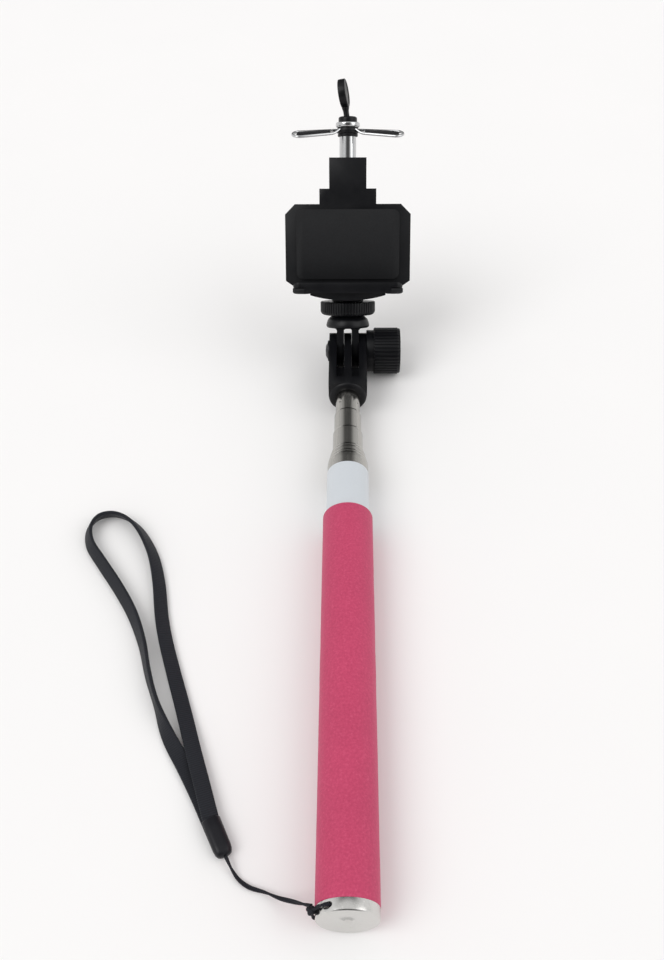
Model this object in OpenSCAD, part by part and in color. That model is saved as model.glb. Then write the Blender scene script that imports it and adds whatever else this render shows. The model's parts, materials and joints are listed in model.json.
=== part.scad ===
// Telescopic hand-held phone stick, folded, with a tilting spring clamp and a wrist strap.
// The stick lies along Y with its end cap towards -Y. The head is tilted up from the stick.

/* [Grip and tubes] */
// Outer diameter of the foam grip
grip_d = 18; // [17.5:0.5:20]
// Length of the foam grip
grip_len = 138; // [120:0.1:138]
// Outer diameter of the base tube
base_d = 15.4; // [15.4:0.1:15.8]
// Step in diameter from one tube to the next
tube_step = 0.95; // [0.9:0.01:0.96]
// Wall of every tube
tube_wall = 0.27; // [0.25:0.01:0.28]
// Length of the end cap that shows behind the grip
cap_len = 3.4; // [3.2:0.1:6]
// How far each of the six sections pulls out
section_travel = 144; // [120:1:146]

/* [Tilting head] */
// Distance from the cap face to the tilt pivot, folded
pivot_s = 234.4; // [230:0.1:236]
// Tilt of the head above the stick
head_tilt = 56; // [0:1:90]
// Width of the knuckle, five fingers wide
knuckle_w = 15.5; // [15:0.1:16]
// Outer radius of the knuckle fingers
finger_r = 7.5; // [7:0.1:7.6]
// Diameter of the thumb knob
knob_d = 19.4; // [18:0.1:20]
// Length of the ridged part of the thumb knob
knob_len = 11.1; // [9:0.1:14]

/* [Phone clamp] */
// Width of the lower jaw
jaw_w = 44.6; // [42:0.1:46]
// Width of the back plate
plate_w = 51; // [48:0.5:56]
// Gap between the jaws when closed
jaw_gap = 57; // [56:0.1:58.6]
// How far the upper jaw pulls out
jaw_travel = 27; // [20:1:30]
// Overall width of the upper jaw arms
arms_w = 46; // [42:1:50]

/* [Pull tab] */
// Radius of the round tab
tab_r = 5.5; // [5:0.1:7]
// Thickness of the tab
tab_t = 2.6; // [2.4:0.1:4]
// Turn of the tab about its stem
tab_turn = -9; // [-30:1:0]
// Sideways lean of the tab at rest
tab_lean = 8; // [0:1:10]

/* [Hidden] */
$fn = 64;

play = 0.05;                 // radial play of a running fit
side_play = 0.1;             // gap between parts that turn side by side
axis_z = knob_d / 2;         // height of the stick's axis above the surface it lies on

grip_end = cap_len + grip_len;
label_end = 162.4;
shoulder_s = 165.9;          // where the base tube starts to close in
mouth = [205, 194.3, 184, 174.1, 172.3, 170, 168.3];  // mouth of section 1 to 6, then of the base tube
tail_6 = 9.2;
tail_step = 1.5;
lip_len = 1;                 // rolled-in stretch at each mouth
shim_len = 8;
socket_s = 204.8;            // lower face of the knuckle's socket
socket_depth = 12;
tube_r = [for (k = [0 : 6]) base_d / 2 - tube_step / 2 * (6 - k + 1)];  // outer radius of section k at k

finger_w = knuckle_w / 5;
screw_r = 2.5;
knob_neck_r = 8.7;
knob_neck_end = 10.9;
stud_r = 3.175;              // quarter-inch thread
dome_base = 9.9;
dome_top = 15.1;
dome_r = 9.05;
nut_r = 11.45;
nut_top = 20.8;
nut_grooves = 60;
knob_grooves = 40;

seat_u = 28;                 // phone seat, measured from the pivot along the head
floor_u = 27.2;
plate_front = -6.7;          // front face of the back plate, y in the head's own frame
plate_back = -4.2;
lip_front = -17;
lip_back = -15.1;
housing_top = 78;
housing_bore = 5;
slide_r = 3.4;
wire_r = 0.55;
collar_low = 88.7;           // lower and upper face of the arms' collar
collar_high = 89.9;
ball_u = 91;
ball_r = 1.8;
tab_arm = 12.1;
tab_edge = 1;                // rounding of the tab's rim
tab_span = 4.2;              // width that the turned tab takes up

// Furthest reach of the tab along Y, so that the stick's middle can be the origin
tab_reach = cos(head_tilt) * (ball_u + tab_arm * cos(tab_lean))
    + (tab_r - tab_edge) * sqrt(pow(sin(head_tilt), 2) + pow(cos(head_tilt) * cos(tab_lean), 2))
    + (tab_span / 2 - tab_edge) * cos(head_tilt) * sin(tab_lean) + tab_edge;
y_mid = (pivot_s + tab_reach) / 2;

// Wrist strap on the surface: x, distance from the cap face, height, twist of the band
band_w = 5;
band_t = 1.3;
BAND = [
    [-40.3, 31, 2.9, 0], [-44, 42, 2.7, 0], [-48.1, 54, 2.3, 0], [-52.7, 68, 1.6, 10], [-57.9, 83, 1.8, 20],
    [-61.5, 94, 2, 25], [-64.1, 104, 2, 30], [-66.8, 118, 2.2, 40], [-70.4, 130, 2.5, 60],
    [-76, 140.5, 2.7, 80],
    [-81.6, 146.5, 2.7, 90], [-87.6, 149, 2.7, 90], [-93.1, 147.5, 2.7, 90], [-95.5, 142, 2.7, 90],
    [-93.9, 134.5, 2.7, 90], [-88.3, 126, 2.7, 90], [-80.7, 115, 2.7, 90], [-74.1, 104, 2.7, 90],
    [-69, 92, 2.7, 90], [-65.4, 80, 2.7, 90], [-61.2, 69, 2.7, 80], [-56.6, 59, 2, 40],
    [-50.5, 49, 0.9, 0], [-44.9, 39, 1.1, 0], [-40.8, 31, 1.5, 0]
];
ferrule_a = [-40.5, 31.2, 2.2];
ferrule_b = [-35.2, 20.5, 2.2];
CORD = [
    [-9.9, 3.4, 11.6], [-12.1, 4.8, 9], [-15.1, 6.6, 5.6], [-19.1, 8.6, 2.6], [-23.1, 10.6, 1.2],
    [-27.6, 12, 1], [-30.7, 14, 1], [-33, 16.8, 1.4], [-35.1, 20.4, 2.1]
];
cord_r = 0.8;
knot_angle = 75;             // angles round the cap, from the top towards the strap's side
hole_top = 36;
hole_low = 110;

function on_table(p) = [p[0], p[1] - y_mid, p[2]];
function arc(cx, cy, r, a0, a1, n = 5) =
    [for (i = [0 : n]) let (a = a0 + (a1 - a0) * i / n) [cx + r * cos(a), cy + r * sin(a)]];
function unit(v) = v / norm(v);
function tangent(p, i) = unit(p[min(i + 1, len(p) - 1)] - p[max(i - 1, 0)]);

// A closed tube of oval rings that stand square to the route and twist about it
module sweep_oval(route, rx, ry, twist, sides = 8) {
    n = len(route);
    points = [
        for (i = [0 : n - 1])
            let (t = tangent(route, i), side = unit(cross([0, 0, 1], t)), up = cross(t, side))
            for (j = [0 : sides - 1])
                let (a = 360 * (j + 0.5) / sides, u = rx * cos(a), v = ry * sin(a), w = twist[i])
                route[i] + side * (u * cos(w) - v * sin(w)) + up * (u * sin(w) + v * cos(w))
    ];
    faces = concat(
        [[for (j = [0 : sides - 1]) j]],
        [for (i = [0 : n - 2]) for (j = [0 : sides - 1])
            let (a = i * sides + j, b = i * sides + (j + 1) % sides)
            for (f = [[a, b + sides, b], [a, a + sides, b + sides]]) f],
        [[for (j = [0 : sides - 1]) (n - 1) * sides + sides - 1 - j]]
    );
    polyhedron(points, faces, convexity = 6);
}

module stick_frame() translate([0, -y_mid, axis_z]) rotate([-90, 0, 0]) children();
module pivot_frame() translate([0, pivot_s - y_mid, axis_z]) children();
module head_frame() pivot_frame() rotate([head_tilt - 90, 0, 0]) children();
module along_x() rotate([0, 90, 0]) children();

module ring(r_in, r_out, z0, z1) rotate_extrude() translate([r_in, z0]) square([r_out - r_in, z1 - z0]);
module rod(p, q, r) {
    d = q - p;
    translate(p) rotate([0, acos(d[2] / norm(d)), atan2(d[1], d[0])]) cylinder(r = r, h = norm(d));
}
module rounded_rect(w, d, r) {
    square([w - 2 * r, d], center = true);
    square([w, d - 2 * r], center = true);
    for (x = [-1, 1], y = [-1, 1]) translate([x * (w / 2 - r), y * (d / 2 - r)]) circle(r = r);
}
module ridged(r, depth, count, h) {
    linear_extrude(h) polygon([
        for (i = [0 : count - 1]) for (p = [[0, r], [0.55, r], [0.65, r - depth], [0.9, r - depth]])
            let (a = (i + p[0]) * 360 / count) [p[1] * cos(a), p[1] * sin(a)]
    ]);
}

// ---------------------------------------------------------------- grip, base tube, cap
module grip_sleeve() {
    edge = 1.1;
    color([0.76, 0.27, 0.42]) stick_frame() rotate_extrude() polygon(concat(
        [[base_d / 2, cap_len], [grip_d / 2 - 0.2, cap_len], [grip_d / 2, cap_len + 0.2]],
        arc(grip_d / 2 - edge, grip_end - edge, edge, 0, 90),
        [[base_d / 2, grip_end]]
    ));
}

module base_tube() {
    r_out = base_d / 2;
    r_in = r_out - tube_wall;
    lip_r = tube_r[6] + play;
    end = mouth[6];
    color([0.68, 0.67, 0.65]) stick_frame() rotate_extrude() polygon([
        [r_in, cap_len], [r_out, cap_len], [r_out, shoulder_s], [r_out - 0.1, end - 1.2],
        [r_out - 0.2, end - 0.4], [lip_r + 0.15, end], [lip_r, end], [lip_r, end - lip_len],
        [r_in, end - lip_len - 0.2]
    ]);
}

module label_band() {
    color([0.86, 0.87, 0.89]) stick_frame() ring(base_d / 2, base_d / 2 + 0.12, grip_end + 0.05, label_end);
}

module end_cap() {
    r = grip_d / 2 - 0.15;
    spigot_r = base_d / 2 - tube_wall;
    spigot_len = 5;
    bore_r = 0.85;
    top = [-r * sin(hole_top), -r * cos(hole_top), cap_len - 1.5];
    low = [-r * sin(hole_low), -r * cos(hole_low), cap_len - 1.5];
    reach = unit(top - low) * 2;
    color([0.80, 0.79, 0.77]) stick_frame() difference() {
        rotate_extrude() polygon([
            [0, 0.5], [0.5, 0.5], [1.4, 0], [r - 0.3, 0], [r, 0.3],
            [r, cap_len], [spigot_r, cap_len], [spigot_r, cap_len + spigot_len], [0, cap_len + spigot_len]
        ]);
        rod(low - reach, top + reach, bore_r);
    }
}

// ---------------------------------------------------------------- wrist strap
module strap_knot() {
    r = 0.6;
    out_r = grip_d / 2 - 0.15 + r + 0.1;
    cap_r = grip_d / 2 - 0.15;
    s = cap_len - 1.5;
    function round_cap(a, rr) = [-rr * sin(a), -rr * cos(a), s];
    loop = concat(
        [for (a = [knot_angle - 5, 60, 48, hole_top]) round_cap(a, out_r + 0.2)],
        [for (a = [hole_top, hole_low]) round_cap(a, cap_r - 0.4)],
        [for (a = [hole_low, 96, knot_angle + 5]) round_cap(a, out_r + 0.2)]
    );
    color([0.10, 0.10, 0.13]) stick_frame() {
        sweep_oval(loop, r, r, [for (p = loop) 0]);
        translate(round_cap(knot_angle, out_r + 0.9)) sphere(r = 1.5);
    }
}

module strap_cord() {
    route = [for (p = CORD) on_table(p)];
    color([0.10, 0.10, 0.13]) sweep_oval(route, cord_r, cord_r, [for (p = CORD) 0]);
}

module strap_ferrule() {
    r = 2.2;
    spread = 0.7;
    a = on_table(ferrule_a);
    b = on_table(ferrule_b);
    d = b - a;
    color([0.12, 0.12, 0.15]) translate(a) rotate([0, 0, atan2(d[1], d[0])]) rotate([0, 90, 0]) {
        for (y = [-spread, spread]) translate([0, y, 0]) rotate_extrude() polygon(
            [[0, 0], [r, 0], [r, norm(d) - 1], [r - 0.7, norm(d)], [0, norm(d)]]);
        translate([-r, -spread, 0]) cube([2 * r, 2 * spread, norm(d) - 1]);
    }
}

module strap_band() {
    route = [for (p = BAND) on_table([p[0], p[1], p[2]])];
    color([0.10, 0.10, 0.13]) sweep_oval(route, band_w / 2, band_t / 2, [for (p = BAND) p[3]]);
}

// ---------------------------------------------------------------- telescopic sections
module tube_section(k) {
    r_out = tube_r[k];
    r_in = r_out - tube_wall;
    lip_r = tube_r[k - 1] + play;
    start = tail_6 + (6 - k) * tail_step;
    end = mouth[k - 1];
    color([0.68, 0.67, 0.65]) stick_frame() rotate_extrude() polygon([
        [r_in, start], [r_out, start], [r_out, end - 0.35], [r_out - 0.12, end],
        [lip_r, end], [lip_r, end - lip_len], [r_in, end - lip_len - 0.2]
    ]);
}
module section_6() tube_section(6);
module section_5() tube_section(5);
module section_4() tube_section(4);
module section_3() tube_section(3);
module section_2() tube_section(2);

module section_1() {
    r_out = tube_r[1];
    start = tail_6 + 5 * tail_step;
    crimp_s = 199.1;
    crimp_r = 1.3;
    crimp_depth = 0.2;
    color([0.68, 0.67, 0.65]) stick_frame() difference() {
        ring(r_out - tube_wall, r_out, start, socket_s + socket_depth - 0.1);
        for (a = [0 : 3]) rotate([0, 0, 90 * a + 7 - 45])
            translate([0, -(r_out + crimp_r - crimp_depth), crimp_s]) sphere(r = crimp_r);
    }
}

// Thin sleeve round a section's tail: it grips the next tube and stops at that tube's lip
module friction_shim(k) {
    r_in = tube_r[k];
    r_out = tube_r[k] + tube_step / 2 - tube_wall - play;
    front = mouth[k] - lip_len - 0.3 - section_travel;
    color([0.72, 0.58, 0.32]) stick_frame() ring(r_in, r_out, front - shim_len, front);
}
module friction_shim_6() friction_shim(6);
module friction_shim_5() friction_shim(5);
module friction_shim_4() friction_shim(4);
module friction_shim_3() friction_shim(3);
module friction_shim_2() friction_shim(2);
module friction_shim_1() {
    r_in = tube_r[1] + 0.02;
    r_out = tube_r[1] + tube_step / 2 - tube_wall - play;
    front = mouth[1] - lip_len - 0.3 - section_travel;
    color([0.72, 0.58, 0.32]) stick_frame() ring(r_in, r_out, front - shim_len, front);
}

module head_plug() {
    r = tube_r[1] - tube_wall;
    plug_len = 20;
    end = socket_s + socket_depth - 0.1;
    color([0.55, 0.55, 0.56]) stick_frame() ring(1.6, r, end - plug_len, end);
}

// ---------------------------------------------------------------- tilting knuckle
module lower_knuckle() {
    barrel_r = knuckle_w / 2 - 0.1;
    block_s = pivot_s - 21.1;
    slot_s = pivot_s - 16.9;
    groove_s = 209.7;
    groove_z = 5.3;
    edge = 1.2;
    nut_flats = 8;
    color([0.11, 0.11, 0.12]) difference() {
        stick_frame() {
            rotate_extrude() polygon(concat(
                [[0, socket_s], [barrel_r - edge, socket_s]],
                arc(barrel_r - edge, socket_s + edge, edge, -90, 0),
                [[barrel_r, block_s + 1], [0, block_s + 1]]
            ));
            translate([-knuckle_w / 2, -finger_r, block_s]) cube([knuckle_w, 2 * finger_r, pivot_s - block_s]);
            translate([-knuckle_w / 2, -finger_r, socket_s + 0.8])
                cube([knuckle_w, finger_r, block_s - socket_s]);
            translate([-knuckle_w / 2, 0, pivot_s]) along_x() cylinder(r = finger_r, h = knuckle_w);
        }
        stick_frame() {
            translate([0, 0, socket_s - 1]) cylinder(r = tube_r[1], h = socket_depth + 1);
            for (x = [-1.5, 0.5]) translate([x * finger_w, 0, 0]) {
                translate([0, -20, slot_s]) cube([finger_w, 40, 40]);
                translate([0, -20, groove_s]) cube([finger_w, 20 - groove_z, 20]);
            }
        }
        pivot_frame() along_x() {
            translate([0, 0, -20]) cylinder(r = screw_r + play, h = 40);
            translate([0, 0, -20]) cylinder(r = nut_flats / 2 / cos(30), h = 20 - knuckle_w / 2 + 2.5, $fn = 6);
        }
    }
}

module cap_nut() {
    nut_flats = 8;
    dome_h = 0.95;
    button_r = 3.3;
    sphere_r = (button_r * button_r + dome_h * dome_h) / 2 / dome_h;
    face = -knuckle_w / 2;
    flange = 0.75;
    color([0.16, 0.16, 0.17]) pivot_frame() along_x() difference() {
        union() {
            translate([0, 0, face]) cylinder(r = nut_flats / 2 / cos(30), h = 2.5, $fn = 6);
            translate([0, 0, face - flange]) cylinder(r = 4.4, h = flange);
            intersection() {
                translate([0, 0, face - flange - dome_h + sphere_r]) sphere(r = sphere_r);
                translate([0, 0, face - 5]) cylinder(r = button_r, h = 4.9);
            }
        }
        translate([0, 0, face - 0.8]) cylinder(r = screw_r + play, h = 20);
    }
}

module thumb_knob() {
    start = knuckle_w / 2 + side_play;
    end = knob_neck_end + knob_len;
    groove = 0.45;
    edge = 1;
    r = knob_d / 2;
    color([0.10, 0.10, 0.11]) pivot_frame() along_x() difference() {
        union() {
            translate([0, 0, start]) cylinder(r = knob_neck_r, h = knob_neck_end - start + 0.5);
            translate([0, 0, knob_neck_end]) ridged(r, groove, knob_grooves, knob_len - edge);
            translate([0, 0, end - edge]) cylinder(r1 = r - groove, r2 = r - groove - edge, h = edge);
        }
        translate([0, 0, start - 1]) cylinder(r = screw_r, h = 7 + 1);
        translate([0, 0, start + 3]) cylinder(r = 4.2, h = 4);
    }
}

// Steel screw moulded into the knob, with its head held inside the plastic
module knob_screw() {
    start = knuckle_w / 2 + side_play;
    tip = -knuckle_w / 2 - 0.6;
    color([0.62, 0.62, 0.63]) pivot_frame() along_x() {
        translate([0, 0, tip]) cylinder(r = screw_r, h = start + 3 - tip);
        translate([0, 0, start + 3]) cylinder(r = 4.2, h = 4);
    }
}

module upper_knuckle() {
    fin_r = finger_r - 0.1;
    edge = 1;
    fin_t = finger_w - 2 * side_play;
    color([0.11, 0.11, 0.12]) head_frame() difference() {
        union() {
            for (x = [-1, 1]) translate([x * finger_w - fin_t / 2, 0, 0]) {
                along_x() cylinder(r = fin_r, h = fin_t);
                translate([0, -fin_r, 0]) cube([fin_t, 2 * fin_r, dome_base + 0.5]);
            }
            rotate_extrude() polygon(concat(
                [[0, dome_base], [dome_r - edge, dome_base]],
                arc(dome_r - edge, dome_base + edge, edge, -90, 0),
                [[dome_r - 0.25, dome_base + 2.2], [dome_r - 0.8, dome_base + 3.6], [6.9, dome_top - 0.4],
                 [6.5, dome_top], [0, dome_top]]
            ));
        }
        translate([-20, 0, 0]) along_x() cylinder(r = screw_r + play, h = 40);
        translate([0, 0, dome_base + 1]) cylinder(r = 4.5, h = 2.2);
        translate([0, 0, dome_base + 3]) cylinder(r = stud_r, h = 10);
    }
}

module camera_stud() {
    color([0.66, 0.66, 0.67]) head_frame() {
        translate([0, 0, dome_base + 1]) cylinder(r = 4.5, h = 2.2);
        translate([0, 0, dome_base + 3]) cylinder(r = stud_r, h = 26.5 - dome_base - 3);
    }
}

module lock_nut() {
    edge = 1.6;
    groove = 0.35;
    base = dome_top + side_play;
    color([0.10, 0.10, 0.11]) head_frame() difference() {
        union() {
            translate([0, 0, base + edge]) ridged(nut_r, groove, nut_grooves, nut_top - base - edge - 0.5);
            rotate_extrude() polygon(concat(
                [[0, base], [nut_r - groove - edge, base]],
                arc(nut_r - groove - edge, base + edge, edge, -90, 0, 4),
                [[nut_r - groove, nut_top - 0.5], [nut_r - groove - 0.5, nut_top], [0, nut_top]]
            ));
        }
        translate([0, 0, base - 1]) cylinder(r = stud_r + play, h = 10);
    }
}

// ---------------------------------------------------------------- clamp body
// Rubber caps wrap the lower jaw's two front corners
pad_w = 7.9;
pad_d = 13;
pad_u = 24.6;

module end_pad_places()
    for (m = [0, 1]) mirror([m, 0, 0]) translate([jaw_w / 2 + 0.1, lip_front, 0]) children();
module end_pad_envelope()
    translate([-pad_w / 2, pad_d / 2, pad_u]) linear_extrude(floor_u - pad_u) rounded_rect(pad_w, pad_d, 3);
module end_pad_core() translate([-pad_w, 1.2, 25.4]) cube([pad_w - 1.2, pad_d - 2.4, 3]);

module clamp_body() {
    belly_half = 15.3;
    belly_u = 21.8;
    belly_rise = 2.2;
    belly_top = 25;
    belly_r = (belly_half * belly_half + belly_rise * belly_rise) / 2 / belly_rise;
    boss_u = nut_top + side_play;
    depth = plate_back + 8 - lip_front;
    block_w = 23;
    block_top = 66;
    neck_w = 15;
    color([0.11, 0.11, 0.12]) head_frame() difference() {
        union() {
            translate([0, 0, boss_u]) cylinder(r = 6.5, h = belly_top - boss_u);
            intersection() {
                translate([0, 0, belly_u + belly_r]) rotate([90, 0, 0])
                    cylinder(r = belly_r, h = 60, center = true, $fn = 128);
                translate([-belly_half, -14, belly_u]) cube([2 * belly_half, 16, belly_top - belly_u]);
            }
            translate([0, lip_front + depth / 2, belly_top])
                linear_extrude(floor_u - belly_top) rounded_rect(jaw_w, depth, 3);
            intersection() {
                translate([0, lip_front + depth / 2, floor_u - 0.5])
                    linear_extrude(2.5) rounded_rect(jaw_w, depth, 3);
                translate([-30, lip_front - 1, 0]) cube([60, lip_back - lip_front + 1, 40]);
            }
            translate([0, plate_back, 0]) rotate([90, 0, 0]) linear_extrude(plate_back - plate_front) polygon([
                [-19, 25], [-plate_w / 2, 29.5], [-plate_w / 2, 56], [-plate_w / 2 + 4, 60],
                [plate_w / 2 - 4, 60], [plate_w / 2, 56], [plate_w / 2, 29.5], [19, 25]
            ]);
            translate([-block_w / 2, plate_front, belly_top])
                cube([block_w, -plate_front, block_top - belly_top]);
            translate([-neck_w / 2, plate_front, belly_top])
                cube([neck_w, -plate_front, housing_top - belly_top]);
        }
        end_pad_places() difference() {
            end_pad_envelope();
            end_pad_core();
        }
        translate([0, 0, seat_u + 0.4]) cylinder(r = housing_bore, h = 60);
        translate([0, 0, boss_u - 1]) cylinder(r = 4.2, h = 27 - boss_u + 1);
        for (x = [-9.6, 9.6], u = [33, 61]) translate([x, -3.5, u]) rotate([-90, 0, 0]) cylinder(r = 0.9, h = 5);
    }
}

module jaw_end_pads() {
    color([0.09, 0.09, 0.10]) head_frame() end_pad_places() difference() {
        end_pad_envelope();
        end_pad_core();
    }
}

module seat_pad() {
    color([0.08, 0.08, 0.09]) head_frame()
        translate([-19, lip_back, floor_u]) cube([38, plate_front - 0.8 - lip_back, seat_u - floor_u]);
}

module back_pad() {
    color([0.08, 0.08, 0.09]) head_frame() translate([0, plate_front, 44]) rotate([90, 0, 0])
        linear_extrude(0.8) rounded_rect(42, 28, 3);
}

module stud_insert() {
    color([0.78, 0.62, 0.30]) head_frame() ring(stud_r + play, 4.2, nut_top + side_play + 0.1, 27);
}

module rear_cover() {
    block_w = 23;
    color([0.11, 0.11, 0.12]) head_frame() difference() {
        union() {
            intersection() {
                translate([0, 0, seat_u]) cylinder(r = 7.5, h = housing_top - seat_u);
                translate([-10, 0, seat_u]) cube([20, 10, 60]);
            }
            translate([-block_w / 2, 0, seat_u]) cube([block_w, 2, 66 - seat_u]);
        }
        translate([0, 0, seat_u + 0.4]) cylinder(r = housing_bore, h = 60);
        for (x = [-9.6, 9.6], u = [33, 61]) translate([x, -1, u]) rotate([-90, 0, 0]) cylinder(r = 0.95, h = 5);
    }
}

module cover_screws() {
    color([0.35, 0.35, 0.36]) head_frame()
        for (x = [-9.6, 9.6], u = [33, 61]) translate([x, 0, u]) rotate([-90, 0, 0]) {
            translate([0, 0, -3.5]) cylinder(r = 0.9, h = 5.5);
            difference() {
                translate([0, 0, 2]) cylinder(r = 1.5, h = 1);
                for (a = [0, 90]) rotate([0, 0, a]) translate([-1, -0.2, 2.5]) cube([2, 0.4, 1]);
            }
        }
}

module guide_bush() {
    color([0.85, 0.85, 0.83]) head_frame() ring(slide_r + play, housing_bore, housing_top - 4, housing_top);
}

module clamp_spring() {
    turns = 11;
    steps = 12;
    r = 4.25;
    low = 33.6;
    high = housing_top - 4.6;
    route = [for (i = [0 : turns * steps]) let (a = 360 * i / steps)
        [r * cos(a), r * sin(a), low + (high - low) * i / (turns * steps)]];
    color([0.60, 0.60, 0.62]) head_frame() sweep_oval(route, 0.35, 0.35, [for (p = route) 0], 5);
}

// ---------------------------------------------------------------- sliding upper jaw
module slide_tube() {
    color([0.78, 0.78, 0.80]) head_frame() ring(slide_r - 0.6, slide_r, 29, 92);
}

module tail_collar() {
    color([0.62, 0.62, 0.63]) head_frame() ring(slide_r, housing_bore - 0.1, 30, 33);
}

module tube_plug() {
    color([0.12, 0.12, 0.13]) head_frame() translate([0, 0, 80]) cylinder(r = slide_r - 0.6, h = 9.1);
}

module hub_barrel() {
    r = 3.9;
    color([0.10, 0.10, 0.11]) head_frame() rotate_extrude() polygon([
        [slide_r, 86.4], [r - 0.3, 86.4], [r, 86.7], [r, 87.6], [r - 0.2, 87.7], [r, 87.8],
        [r, collar_low - 0.3], [r - 0.3, collar_low], [slide_r, collar_low]
    ]);
}

// Each arm is a wire loop: its back run leaves the collar straight, and its front run steps down first
arm_low = seat_u + jaw_gap + wire_r;
back_root = [3, 2.6, collar_low + 0.6];
front_root = [3, -2.6, collar_low + 0.6];
front_bend = [5.4, -4.2, arm_low + 1.85];
back_tip = [arms_w / 2 - 4.1, -5.6, arm_low + 2.37];
front_tip = [arms_w / 2 - 4.1, -11.2, arm_low];

module jaw_arms() {
    span = back_tip - front_tip;
    bend_r = norm(span) / 2;
    color([0.82, 0.82, 0.84]) head_frame() difference() {
        union() {
            translate([0, 0, collar_low]) cylinder(r = 4.4, h = collar_high - collar_low);
            for (m = [0, 1]) mirror([m, 0, 0]) {
                rod(back_root - [0.8, -0.4, 0], back_tip + (back_tip - back_root) * 0.02, wire_r);
                rod(front_root - [0.8, -0.4, 0], front_root, wire_r);
                rod(front_root, front_bend, wire_r);
                translate(front_root) sphere(r = wire_r + 0.03);
                translate(front_bend) sphere(r = wire_r + 0.03);
                rod(front_bend, front_tip + (front_tip - front_bend) * 0.02, wire_r);
                translate((back_tip + front_tip) / 2) rotate([atan2(span[2], span[1]), 0, 0]) intersection() {
                    rotate_extrude() translate([bend_r, 0]) circle(r = wire_r);
                    translate([0, -10, -2]) cube([10, 20, 4]);
                }
            }
        }
        translate([0, 0, 80]) cylinder(r = slide_r, h = 20);
    }
}

// Rubber strip held between the two runs of each loop
module arm_pads() {
    inset = wire_r - 0.2;
    upper = [[1.6, 2.08], [13.5, -4.04], [15, -4.9]];
    lower = [[1.6, -3.75], [13.5, -10.12], [15, -9.6]];
    color([0.09, 0.09, 0.10]) head_frame() for (m = [0, 1]) mirror([m, 0, 0])
        translate([5.4, -1.42, arm_low + 2.7]) rotate([20, 0, 0]) rotate([0, -4.07, 0])
            translate([0, 0, -0.5]) linear_extrude(1) polygon([
                upper[0] - [0.46, 0.89] * inset, upper[1] - [0.46, 0.89] * inset, upper[2] - [0.2, 0.6],
                lower[2], lower[1] + [0.47, 0.88] * inset, lower[0] + [0.47, 0.88] * inset
            ]);
}

module hub_ring() {
    r = 4.85;
    bulge = 1.05;
    color([0.84, 0.84, 0.86]) head_frame() rotate_extrude() polygon(concat(
        [[slide_r, collar_high], [r - 0.6, collar_high]],
        arc(r - bulge, 90.97, bulge, -60, 60, 6),
        [[3.9, 92], [slide_r, 92]]
    ));
}

module hub_cap() {
    r = 3.75;
    color([0.10, 0.10, 0.11]) head_frame() rotate_extrude() polygon(concat(
        [[1.65, 92], [r, 92]], arc(r - 1.1, 93, 1.1, 0, 90, 4), [[2.2, 94.1], [1.65, 92.4]]
    ));
}

module pull_tab() {
    color([0.10, 0.10, 0.11]) head_frame() translate([0, 0, ball_u]) rotate([0, -tab_lean, 0]) {
        sphere(r = ball_r);
        cylinder(r = 1.2, h = tab_arm - tab_r + 1);
        translate([0, 0, tab_arm]) rotate([0, 0, tab_turn]) along_x() rotate_extrude() polygon(concat(
            [[0, -tab_t / 2]],
            arc(tab_r - tab_edge, -tab_t / 2 + tab_edge, tab_edge, -90, 0, 4),
            arc(tab_r - tab_edge, tab_t / 2 - tab_edge, tab_edge, 0, 90, 4),
            [[0, tab_t / 2]]
        ));
    }
}

grip_sleeve();
base_tube();
label_band();
end_cap();
strap_knot();
strap_cord();
strap_ferrule();
strap_band();
section_6();
section_5();
section_4();
section_3();
section_2();
section_1();
friction_shim_6();
friction_shim_5();
friction_shim_4();
friction_shim_3();
friction_shim_2();
friction_shim_1();
head_plug();
lower_knuckle();
cap_nut();
thumb_knob();
knob_screw();
upper_knuckle();
camera_stud();
lock_nut();
clamp_body();
jaw_end_pads();
seat_pad();
back_pad();
stud_insert();
rear_cover();
cover_screws();
guide_bush();
clamp_spring();
slide_tube();
tail_collar();
tube_plug();
hub_barrel();
jaw_arms();
arm_pads();
hub_ring();
hub_cap();
pull_tab();
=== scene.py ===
"""Looks of a folded, telescopic hand-held phone stick with a tilting spring clamp and a wrist strap."""
import json
import math

import bmesh
import bpy
from mathutils import Matrix, Vector, noise


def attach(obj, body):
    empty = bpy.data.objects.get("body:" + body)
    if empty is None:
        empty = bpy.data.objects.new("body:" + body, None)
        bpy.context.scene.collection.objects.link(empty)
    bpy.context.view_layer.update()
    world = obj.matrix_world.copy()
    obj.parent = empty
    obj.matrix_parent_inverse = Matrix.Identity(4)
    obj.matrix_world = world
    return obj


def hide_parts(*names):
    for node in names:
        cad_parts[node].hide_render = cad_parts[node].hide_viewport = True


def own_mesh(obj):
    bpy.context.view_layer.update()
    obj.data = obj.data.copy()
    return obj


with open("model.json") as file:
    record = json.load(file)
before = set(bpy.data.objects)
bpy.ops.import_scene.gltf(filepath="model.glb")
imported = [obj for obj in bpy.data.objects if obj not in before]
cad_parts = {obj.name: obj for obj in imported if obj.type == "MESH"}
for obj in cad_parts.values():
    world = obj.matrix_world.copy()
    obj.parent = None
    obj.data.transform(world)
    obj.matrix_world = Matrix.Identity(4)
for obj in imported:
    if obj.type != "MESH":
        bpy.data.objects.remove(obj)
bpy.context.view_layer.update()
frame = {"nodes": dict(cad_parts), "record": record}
nodes = frame["nodes"]
record = frame["record"]
BODY = {node: body for body, members in record["behaviour"]["bodies"].items() for node in members}
SLOT = {row["node"]: row["material_slot"] for row in record["subparts"]}

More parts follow.
